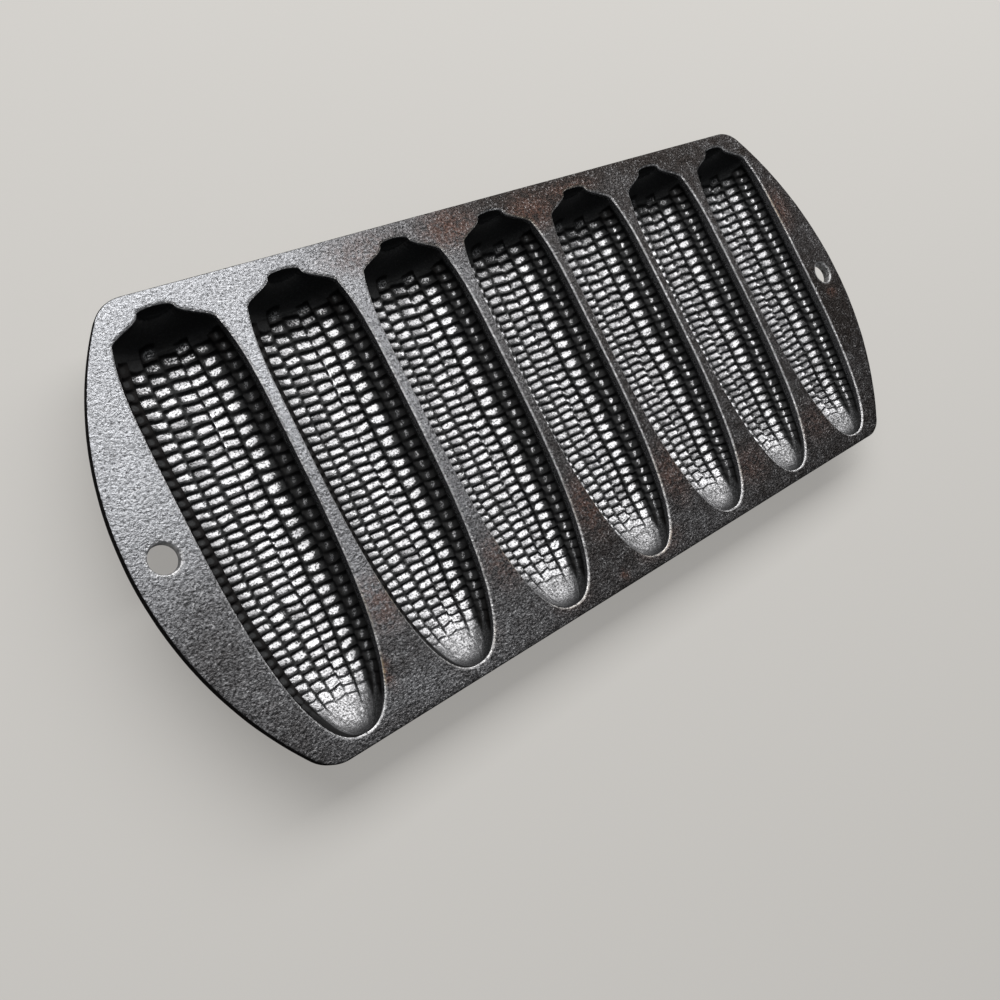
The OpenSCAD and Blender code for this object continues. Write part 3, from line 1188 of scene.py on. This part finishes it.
class Bench:
    """A material under construction. Its numbers are a Mix node's sockets, which share their names."""

    SHARE = 0
    FIRST_COLOUR = 6
    SECOND_COLOUR = 7
    MIXED_COLOUR = 2

    def __init__(self, name: str) -> None:
        """Starts a material with a lone principled shader.

        Args:
            name: The material's name.
        """
        self.material = bpy.data.materials.new(name)
        self.material.use_nodes = True
        self.tree = self.material.node_tree
        self.tree.nodes.clear()
        self.shader = self.tree.nodes.new("ShaderNodeBsdfPrincipled")
        self.output = self.tree.nodes.new("ShaderNodeOutputMaterial")
        self.tree.links.new(self.shader.outputs["BSDF"], self.output.inputs["Surface"])
        self.place = self.tree.nodes.new("ShaderNodeTexCoord").outputs["Object"]

    def put(self, socket: bpy.types.NodeSocket, value: object) -> None:
        """Links a socket to another, or sets its value.

        Args:
            socket: The input.
            value: An output socket, a number or a tuple.
        """
        if isinstance(value, bpy.types.NodeSocket):
            self.tree.links.new(value, socket)
        else:
            socket.default_value = value

    def noise(self, kind: Noise) -> bpy.types.NodeSocket:
        """Soft noise of one kind.

        Args:
            kind: The pattern.

        Returns:
            A value from 0 to 1.
        """
        node = self.tree.nodes.new("ShaderNodeTexNoise")
        self.put(node.inputs["Vector"], self.place)
        node.inputs["Scale"].default_value = 1.0 / (kind.size * MM)
        node.inputs["Detail"].default_value = kind.detail
        node.inputs["Roughness"].default_value = kind.rough
        node.inputs["Distortion"].default_value = kind.skew
        return node.outputs[0]

    def mark(self, name: str) -> bpy.types.NodeSocket:
        """A number that the mesh holds for each point.

        Args:
            name: The number's name in the mesh.

        Returns:
            Its value.
        """
        node = self.tree.nodes.new("ShaderNodeAttribute")
        node.attribute_name = name
        return node.outputs["Fac"]

    def ramp(self, value: object, fade: Fade) -> bpy.types.NodeSocket:
        """Maps a value from one range to another, smoothly and clamped.

        Args:
            value: The value.
            fade: The two ranges.

        Returns:
            The mapped value.
        """
        node = self.tree.nodes.new("ShaderNodeMapRange")
        node.interpolation_type = "SMOOTHSTEP"
        names = ("Value", "From Min", "From Max", "To Min", "To Max")
        for name, number in zip(names, (value, fade.low, fade.high, fade.at_low, fade.at_high)):
            self.put(node.inputs[name], number)
        return node.outputs["Result"]

    def maths(self, kind: str, first: object, second: object) -> bpy.types.NodeSocket:
        """Works out a sum on two values.

        Args:
            kind: Which sum, such as MAXIMUM.
            first: A value.
            second: A value.

        Returns:
            The result.
        """
        node = self.tree.nodes.new("ShaderNodeMath")
        node.operation = kind
        self.put(node.inputs[0], first)
        self.put(node.inputs[1], second)
        return node.outputs[0]

    def plus(self, first: object, *more: object) -> bpy.types.NodeSocket:
        """Adds two or more values.

        Args:
            first: A value.
            more: The values that are added to it.

        Returns:
            Their sum.
        """
        for value in more:
            first = self.maths("ADD", first, value)
        return first

    def times(self, first: object, second: object) -> bpy.types.NodeSocket:
        """The product of two values."""
        return self.maths("MULTIPLY", first, second)

    def blend(self, share: object, first: object, second: object) -> bpy.types.NodeSocket:
        """Mixes two colours.

        Args:
            share: From 0 for the first to 1 for the second.
            first: A colour.
            second: A colour.

        Returns:
            The mixed colour.
        """
        node = self.tree.nodes.new("ShaderNodeMix")
        node.data_type = "RGBA"
        self.put(node.inputs[self.SHARE], share)
        self.put(node.inputs[self.FIRST_COLOUR], first)
        self.put(node.inputs[self.SECOND_COLOUR], second)
        return node.outputs[self.MIXED_COLOUR]

    def bump(self, height: object, depth: float, under: object = None) -> bpy.types.NodeSocket:
        """A bumpy normal.

        Args:
            height: A value from 0 to 1.
            depth: Height of the bumps, in millimetres.
            under: The normal that it is added to.

        Returns:
            The new normal.
        """
        node = self.tree.nodes.new("ShaderNodeBump")
        node.inputs["Strength"].default_value = 1.0
        node.inputs["Distance"].default_value = depth * MM
        self.put(node.inputs["Height"], height)
        if under is not None:
            self.put(node.inputs["Normal"], under)
        return node.outputs[0]


@dataclass(frozen=True)
class SeasonedIron:
    """Black seasoned cast iron. The deck's finish and the glossier one inside the moulds meet at the lips.

    The fades say how the patterns and the meshes' marks turn into pits, specks, rust, painted highlights on
    the edges, painted shade as black, and so on.
    """

    name: str
    # The deck's reflective grey, where its painted sheen is, and its black elsewhere.
    deck: Colour = (0.42, 0.43, 0.455, 1.0)
    deck_dark: Colour = (0.036, 0.031, 0.029, 1.0)
    mould: Colour = (0.30, 0.30, 0.31, 1.0)
    rust: Colour = (0.15, 0.080, 0.060, 1.0)
    # Painted highlight colours: pale grey, and tan where the iron is brown.
    rubbed: Colour = (0.62, 0.62, 0.63, 1.0)
    # Black for specks and for painted shade.
    black_and_shade: Colour = (0.047, 0.048, 0.049, 1.0)
    grit: Colour = (0.50, 0.50, 0.51, 1.0)
    tan: Colour = (0.42, 0.33, 0.22, 1.0)
    # Black for pits, and for painted shade on the deck's outer sides.
    pit_and_shade: Colour = (0.02, 0.019, 0.019, 1.0)
    grazing: Colour = (0.35, 0.35, 0.35, 1.0)
    deck_rough: float = 0.49
    mould_rough: float = 0.31
    black_rough: float = 0.40
    rust_rough: Fade = Fade(0.0, 1.0, 0.0, 0.12)
    mottle_rough: Fade = Fade(0.3, 0.7, -0.05, 0.06)
    fine_rough: Fade = Fade(0.3, 0.7, -0.04, 0.06)
    metallic: float = 1.0
    pebble_high: float = 0.45
    pebble_inside: float = 0.2
    sand_high: float = 0.22
    sand_inside: float = 0.4
    fine_high: float = 0.08
    fine_inside: float = 0.6
    clouds_in_grey: float = 0.2
    mottle_in_grey: float = 0.5
    mottle_in_rust: float = 0.55
    grain_in_rust: float = 0.45
    rust_share: float = 0.8
    grey_clouds: Fade = Fade(0.15, 1.30)
    rust_spots: Fade = Fade(0.40, 0.57)
    sand_pits: Fade = Fade(0.32, 0.56, 0.85, 0.0)
    pebble_pits: Fade = Fade(0.33, 0.44, 0.7, 0.0)
    pits_on_grey: Fade = Fade(0.3, 0.9, 1.0, 0.6)
    sand_grit: Fade = Fade(0.52, 0.70, 0.0, 0.6)
    grit_drifts: Fade = Fade(0.42, 0.62, 0.05, 1.0)
    black_specks: Fade = Fade(0.32, 0.48, 0.8, 0.0)
    specks_on_worn: Fade = Fade(0.0, 1.0, 1.0, 0.3)
    # Painted highlights on the lips, rims and fins.
    edge_rub: Fade = Fade(0.35, 1.0)
    edge_grain: Fade = Fade(0.35, 0.65, 0.3, 0.95)
    # Painted shade: how the black lies round the kernels' highlights, on dark sides, and blackest on the outer
    # sides.
    ragged: Fade = Fade(0.36, 0.64, -0.60, 0.50)
    black_gaps: Fade = Fade(-0.78, -0.14, 0.97, 0.0)
    black_sides: Fade = Fade(-0.9, -0.4, 0.9, 0.0)
    blackest: Fade = Fade(-1.7, -0.9, 1.0, 0.0)
    clouds: Noise = Noise(34.0, 3.0, 0.5, 0.4)
    mottle: Noise = Noise(4.0, 5.0, 0.65, 0.3)
    grain: Noise = Noise(1.2, 3.0, 0.6)
    pebble: Noise = Noise(1.05, 3.0, 0.6)
    sand: Noise = Noise(0.8, 2.5, 0.7)
    speck: Noise = Noise(0.62, 3.0, 0.75)
    fine: Noise = Noise(0.42, 2.0, 0.6)


class IronBench(Bench):
    """Mixes the iron's colour, gloss and grain from the meshes' marks and the iron's noise patterns."""

    def __init__(self, iron: SeasonedIron) -> None:
        """Lays out the marks and the patterns that the finish is mixed from.

        Args:
            iron: The finish's values.
        """
        super().__init__(iron.name)
        self.iron = iron
        self.inside, self.brown, self.rub = (self.mark(name) for name in ("cavity", "brown", "rub"))
        self.mottle, self.grain = self.noise(iron.mottle), self.noise(iron.grain)
        self.pebble, self.sand = self.noise(iron.pebble), self.noise(iron.sand)
        self.speck, self.fine = self.noise(iron.speck), self.noise(iron.fine)
        # Painted sheen: the pale mark and clouds of random tone turn the deck from black to reflective grey.
        clouds = self.times(self.noise(iron.clouds), iron.clouds_in_grey)
        clouds = self.plus(clouds, self.times(self.mottle, iron.mottle_in_grey))
        self.cloudy = self.ramp(self.plus(self.mark("pale"), clouds), iron.grey_clouds)
        spotty = self.times(self.mottle, iron.mottle_in_rust)
        spotty = self.plus(spotty, self.times(self.grain, iron.grain_in_rust))
        self.rusty = self.times(self.ramp(spotty, iron.rust_spots), self.brown)
        self.calm = self.ramp(self.mark("worn"), iron.specks_on_worn)

    def across_lip(self, on_deck: float, in_mould: float) -> bpy.types.NodeSocket:
        """A value that changes at the lips, from the deck's to the mould's."""
        return self.ramp(self.inside, Fade(0.0, 1.0, on_deck, in_mould))

    def deck_colour(self) -> bpy.types.NodeSocket:
        """The deck: from black to the grey of its painted sheen, mixed with random tone; rust in the brown
        patches, dark pits and pale grit.

        Returns:
            Its colour.
        """
        iron = self.iron
        colour = self.blend(self.cloudy, iron.deck_dark, iron.deck)
        colour = self.blend(self.times(self.rusty, iron.rust_share), colour, iron.rust)
        fewer = self.ramp(self.cloudy, iron.pits_on_grey)
        pits = self.times(self.ramp(self.sand, iron.sand_pits), fewer)
        pits = self.maths("MAXIMUM", pits, self.ramp(self.pebble, iron.pebble_pits))
        colour = self.blend(pits, colour, iron.pit_and_shade)
        drifts = self.ramp(self.mottle, iron.grit_drifts)
        grit = self.times(self.ramp(self.sand, iron.sand_grit), drifts)
        return self.blend(grit, colour, iron.grit)

    def mould_colour(self) -> bpy.types.NodeSocket:
        """The inside of a mould: bare dark metal with black specks, which are fewer where it is worn."""
        specks = self.times(self.ramp(self.speck, self.iron.black_specks), self.calm)
        return self.blend(specks, self.iron.mould, self.iron.black_and_shade)

    def rubbed(self, colour: bpy.types.NodeSocket) -> bpy.types.NodeSocket:
        """Adds the painted highlights on lips, rims and fins, pale where the iron is grey and tan where it is
        brown.

        Args:
            colour: The iron's colour.

        Returns:
            The colour with its painted highlights.
        """
        edge = self.ramp(self.rub, self.iron.edge_rub)
        edge = self.times(edge, self.ramp(self.grain, self.iron.edge_grain))
        return self.blend(edge, colour, self.blend(self.brown, self.iron.rubbed, self.iron.tan))

    def black_share(self) -> bpy.types.NodeSocket:
        """How much painted shade, as black, there is: raggedly round the kernels' bright spots, and wholly on
        the sides painted darkest.

        Returns:
            From 0 for none to 1 for all.
        """
        ragged = self.plus(self.rub, self.times(self.ramp(self.speck, self.iron.ragged), self.calm))
        gaps = self.times(self.ramp(ragged, self.iron.black_gaps), self.inside)
        return self.maths("MAXIMUM", gaps, self.ramp(self.rub, self.iron.black_sides))

    def roughness(self, black: bpy.types.NodeSocket) -> bpy.types.NodeSocket:
        """How rough the iron is: uneven, more so on the deck, and most on rust and where painted shade lies as
        black.

        Args:
            black: How much is baked black.

        Returns:
            The roughness.
        """
        iron = self.iron
        return self.plus(
            self.across_lip(iron.deck_rough, iron.mould_rough),
            self.ramp(self.mottle, iron.mottle_rough),
            self.ramp(self.fine, iron.fine_rough),
            self.ramp(self.rusty, iron.rust_rough),
            self.times(black, iron.black_rough),
        )

    def normal(self) -> bpy.types.NodeSocket:
        """The sand casting's grain in three sizes, fainter inside the moulds.

        Returns:
            The normal.
        """
        iron = self.iron
        pebbles = self.times(self.pebble, self.across_lip(1.0, iron.pebble_inside))
        sand = self.times(self.sand, self.across_lip(1.0, iron.sand_inside))
        fine = self.times(self.fine, self.across_lip(1.0, iron.fine_inside))
        normal = self.bump(sand, iron.sand_high, self.bump(pebbles, iron.pebble_high))
        return self.bump(fine, iron.fine_high, normal)

    def dress(self) -> bpy.types.Material:
        """Mixes the whole finish.

        Returns:
            The material.
        """
        iron, black = self.iron, self.black_share()
        colour = self.rubbed(self.blend(self.inside, self.deck_colour(), self.mould_colour()))
        # Painted shade: black round the kernels' highlights and on dark sides, blackest on the deck's outer
        # sides.
        colour = self.blend(black, colour, iron.black_and_shade)
        colour = self.blend(self.ramp(self.rub, iron.blackest), colour, iron.pit_and_shade)
        self.put(self.shader.inputs["Base Color"], colour)
        self.shader.inputs["Metallic"].default_value = iron.metallic
        self.shader.inputs["Specular Tint"].default_value = iron.grazing
        self.put(self.shader.inputs["Roughness"], self.roughness(black))
        self.put(self.shader.inputs["Normal"], self.normal())
        return self.material


@dataclass(frozen=True)
class Camera:
    """The view of the photograph, found by fitting the pan's outline, in the row frame."""

    place: Triple = (-235.66, -27.1, 275.14)
    right: Triple = (0.74392, -0.44786, 0.49599)
    down: Triple = (-0.37161, -0.8941, -0.24996)
    ahead: Triple = (0.55541, 0.00164, -0.83157)
    lens: float = 36.0
    sensor: float = 36.0
    nearest: float = 0.01
    furthest: float = 20.0

    def build(self, deck_top: float) -> bpy.types.Object:
        """Makes the camera and hands it to the scene.

        Args:
            deck_top: Height of the deck's top, from which the camera's place was measured.

        Returns:
            The camera.
        """
        data = bpy.data.cameras.new("photo_view")
        data.lens, data.sensor_width = self.lens, self.sensor
        data.clip_start, data.clip_end = self.nearest, self.furthest
        camera = bpy.data.objects.new("photo_view", data)
        bpy.context.scene.collection.objects.link(camera)
        axes = Matrix((self.right, -Vector(self.down), -Vector(self.ahead))).transposed()
        place = Vector((self.place[0], self.place[1], self.place[2] + deck_top)) * MM
        camera.matrix_world = Matrix.Translation(place) @ axes.to_4x4()
        bpy.context.scene.camera = camera
        return camera


@dataclass(frozen=True)
class Softbox:
    """One soft light that faces a point. Its length runs along X, and its width is a share of that."""

    name: str
    place: Triple
    target: Triple
    side: float
    power: float
    colour: Triple = (1.0, 1.0, 1.0)
    share: float = 1.0

    def build(self) -> bpy.types.Object:
        """Makes the light.

        Returns:
            The light.
        """
        data = bpy.data.lights.new(self.name, "AREA")
        data.shape, data.size, data.size_y = "RECTANGLE", self.side, self.side * self.share
        data.energy, data.color = self.power, self.colour
        light = bpy.data.objects.new(self.name, data)
        bpy.context.scene.collection.objects.link(light)
        light.location = self.place
        light.rotation_mode = "QUATERNION"
        light.rotation_quaternion = (Vector(self.target) - Vector(self.place)).to_track_quat("-Z", "Y")
        return light


@dataclass(frozen=True)
class Studio:
    """A pale floor under soft light."""

    reach: float = 3.0
    floor_colour: Colour = (0.56, 0.55, 0.53, 1.0)
    floor_glow: Colour = (0.62, 0.60, 0.57, 1.0)
    floor_rough: float = 0.9
    floor_shine: float = 0.1
    glow_share: float = 0.5
    world_colour: Colour = (0.95, 0.98, 1.0, 1.0)
    world_strength: float = 0.13
    backdrop: Colour = (0.86, 0.86, 0.85, 1.0)
    key: Softbox = Softbox(
        "key", (0.575, 0.74, 0.90), (0.575, 0.0, 0.0), 2.55, 30.5, (1.0, 0.99, 0.975), 0.24
    )

    def floor(self) -> bpy.types.Object:
        """Makes the floor, which the camera sees partly by a glow of its own.

        Returns:
            The floor.
        """
        mesh = bpy.data.meshes.new("floor")
        corners = [(x * self.reach, y * self.reach, 0.0) for x, y in ((-1, -1), (1, -1), (1, 1), (-1, 1))]
        mesh.from_pydata(corners, [], [(0, 1, 2, 3)])
        floor = bpy.data.objects.new("floor", mesh)
        bpy.context.scene.collection.objects.link(floor)
        b = Bench("pale_floor")
        b.put(b.shader.inputs["Base Color"], self.floor_colour)
        b.shader.inputs["Roughness"].default_value = self.floor_rough
        b.shader.inputs["Specular IOR Level"].default_value = self.floor_shine
        glow = b.tree.nodes.new("ShaderNodeEmission")
        glow.inputs["Color"].default_value = self.floor_glow
        path = b.tree.nodes.new("ShaderNodeLightPath")
        mix = b.tree.nodes.new("ShaderNodeMixShader")
        b.put(mix.inputs[0], b.times(path.outputs["Is Camera Ray"], self.glow_share))
        b.put(mix.inputs[1], b.shader.outputs["BSDF"])
        b.put(mix.inputs[2], glow.outputs["Emission"])
        b.put(b.output.inputs["Surface"], mix.outputs[0])
        mesh.materials.append(b.material)
        return floor

    def world(self) -> bpy.types.World:
        """Makes the world: faint light all round, and a pale backdrop that only the camera sees.

        Returns:
            The world.
        """
        world = bpy.data.worlds.new("soft_world")
        world.use_nodes = True
        bpy.context.scene.world = world
        tree = world.node_tree
        light = tree.nodes["Background"]
        light.inputs["Color"].default_value = self.world_colour
        light.inputs["Strength"].default_value = self.world_strength
        seen = tree.nodes.new("ShaderNodeBackground")
        seen.inputs["Color"].default_value = self.backdrop
        path = tree.nodes.new("ShaderNodeLightPath")
        mix = tree.nodes.new("ShaderNodeMixShader")
        tree.links.new(path.outputs["Is Camera Ray"], mix.inputs[0])
        tree.links.new(light.outputs[0], mix.inputs[1])
        tree.links.new(seen.outputs[0], mix.inputs[2])
        tree.links.new(mix.outputs[0], tree.nodes["World Output"].inputs["Surface"])
        return world

    def build(self) -> None:
        """Makes the floor, the light and the world."""
        self.floor()
        self.key.build()
        self.world()


def main() -> None:
    """Builds the camera, the light, the deck and the seven moulds."""
    logging.basicConfig(level=logging.INFO, format="%(name)s: %(message)s")
    bpy.context.scene.view_settings.view_transform = "Standard"
    shape, relief, wear_and_sheen = EarShape(), DeckRelief(), WearAndSheen()
    Camera().build(shape.pan.height)
    Studio().build()
    deck_iron = IronBench(SeasonedIron("deck_iron")).dress()
    mould_iron = IronBench(SeasonedIron("mould_iron")).dress()
    Deck(shape, relief, wear_and_sheen).build(deck_iron)
    for number in range(1, shape.pan.moulds + 1):
        EarMould(number, shape, relief, wear_and_sheen).build(mould_iron)


if __name__ == "__main__":
    main()
